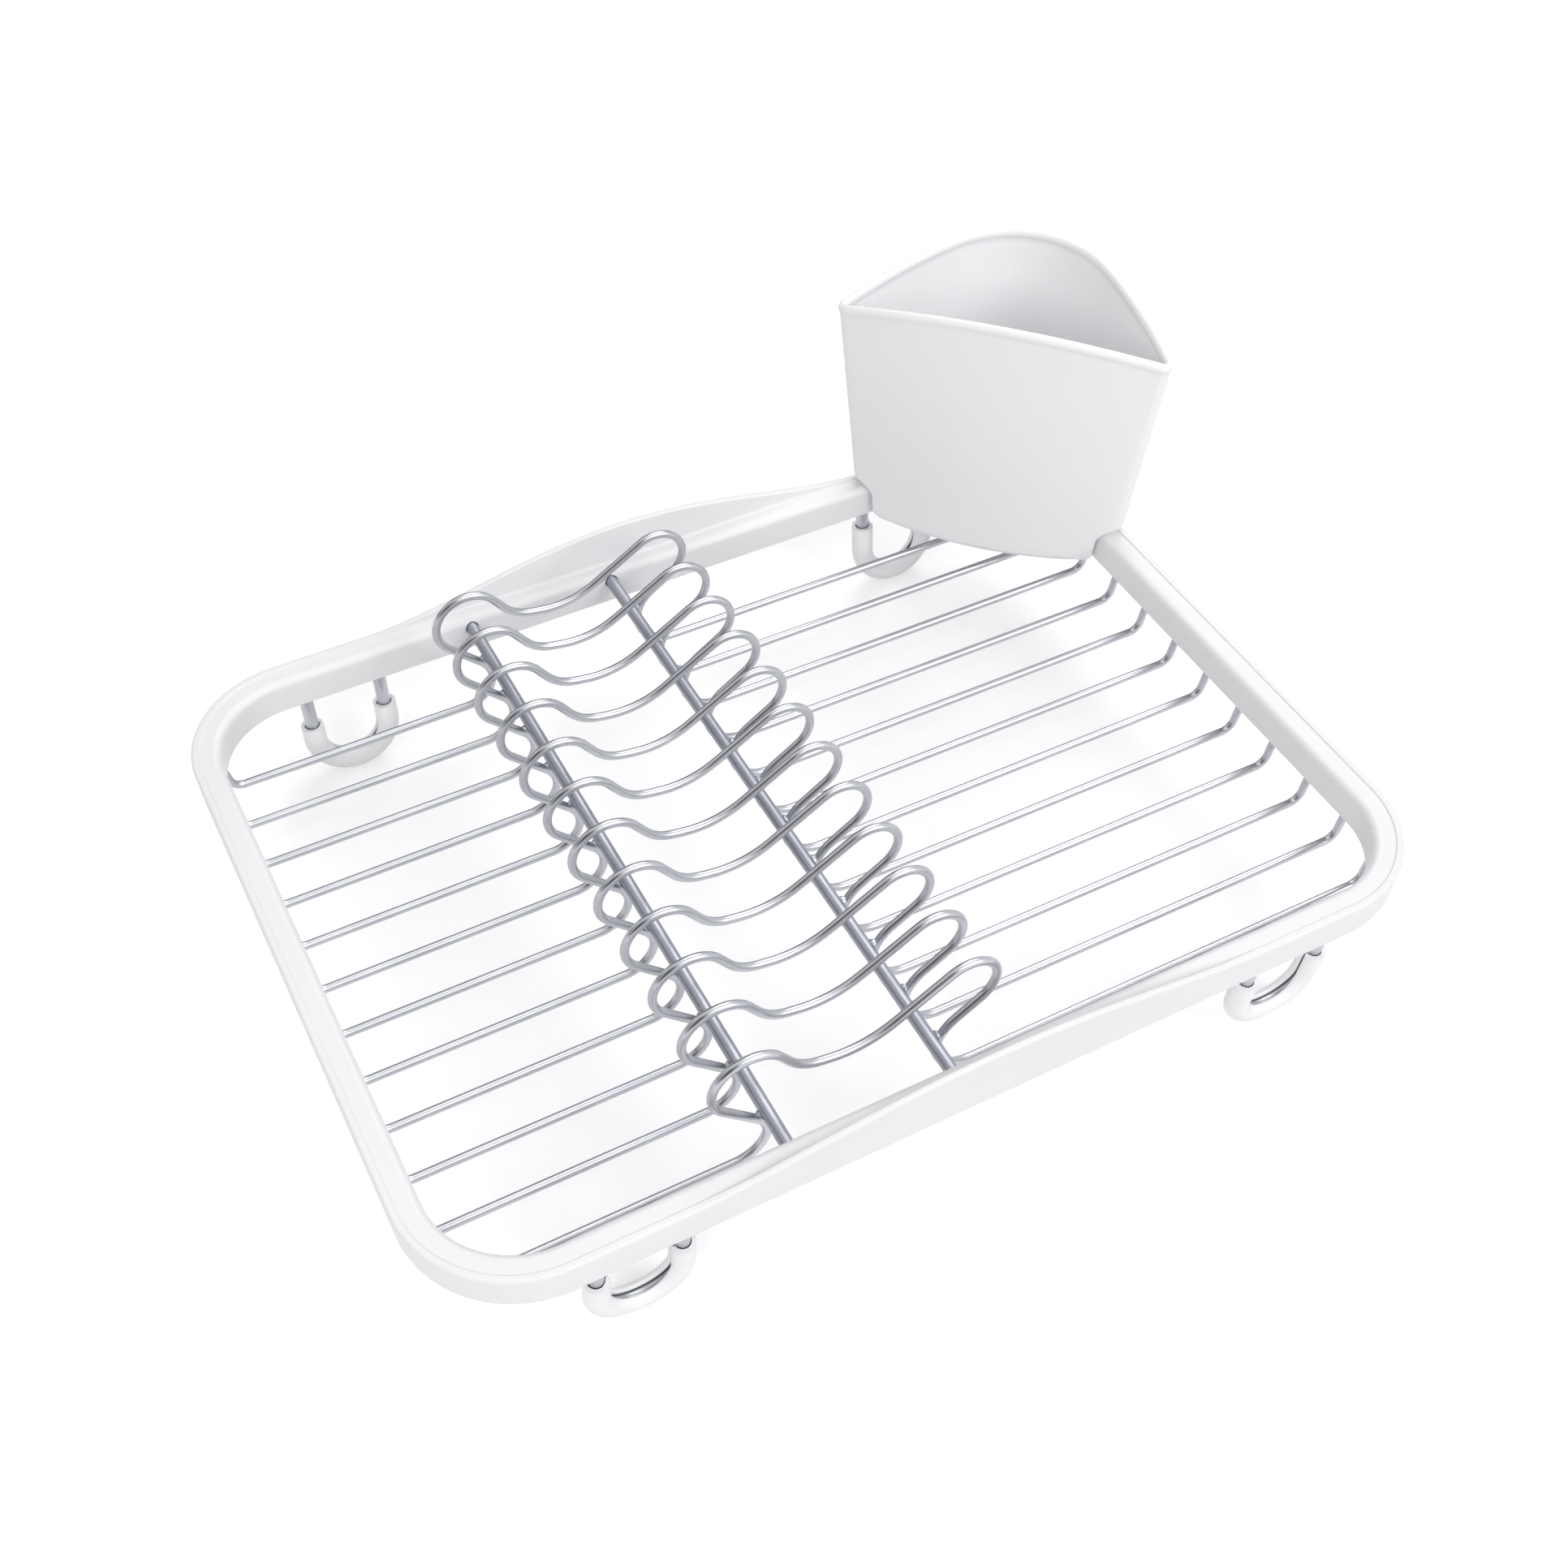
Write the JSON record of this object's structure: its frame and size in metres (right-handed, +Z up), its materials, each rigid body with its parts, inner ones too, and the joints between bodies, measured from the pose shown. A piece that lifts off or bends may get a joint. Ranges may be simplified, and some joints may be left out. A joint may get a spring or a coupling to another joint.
{
  "type": "dish drying rack",
  "caption": "Compact dish drying rack: moulded plastic rim with low grip lips, looped wire plate slots, wire feet in soft sleeves, and a corner cutlery cup that lifts off.",
  "frame": {"origin": "under the middle of the whole outline, on the table", "axes": "+X along the rack's length towards the end with the cutlery cup, +Y towards the side with the cup, +Z up"},
  "size_m": [0.3562, 0.272, 0.1402],
  "materials": {
    "rim_plastic": "smooth moulded white, soft gloss",
    "cup_plastic": "fine satin moulded white",
    "satin_nickel": "satin nickel plated wire",
    "sleeve_vinyl": "soft translucent white vinyl"
  },
  "bodies": {
    "rack": {"rim_frame": "rim_plastic", "grid_wire_01": "satin_nickel", "grid_wire_02": "satin_nickel", "grid_wire_03": "satin_nickel", "grid_wire_04": "satin_nickel", "grid_wire_05": "satin_nickel", "grid_wire_06": "satin_nickel", "grid_wire_07": "satin_nickel", "grid_wire_08": "satin_nickel", "grid_wire_09": "satin_nickel", "grid_wire_10": "satin_nickel", "grid_wire_11": "satin_nickel", "grid_wire_12": "satin_nickel", "cross_bar_left": "satin_nickel", "cross_bar_right": "satin_nickel", "foot_wire_back_left": "satin_nickel", "foot_wire_back_right": "satin_nickel", "foot_wire_front_left": "satin_nickel", "foot_wire_front_right": "satin_nickel", "foot_sleeve_back_left": "sleeve_vinyl", "foot_sleeve_back_right": "sleeve_vinyl", "foot_sleeve_front_left": "sleeve_vinyl", "foot_sleeve_front_right": "sleeve_vinyl"},
    "cup": {"cutlery_cup": "cup_plastic"}
  },
  "joints": [
    {"name": "cup_lift", "type": "slide", "parent": "rack", "child": "cup", "axis": [0, 0, 1], "range_m": [0, 0.04]}
  ]
}
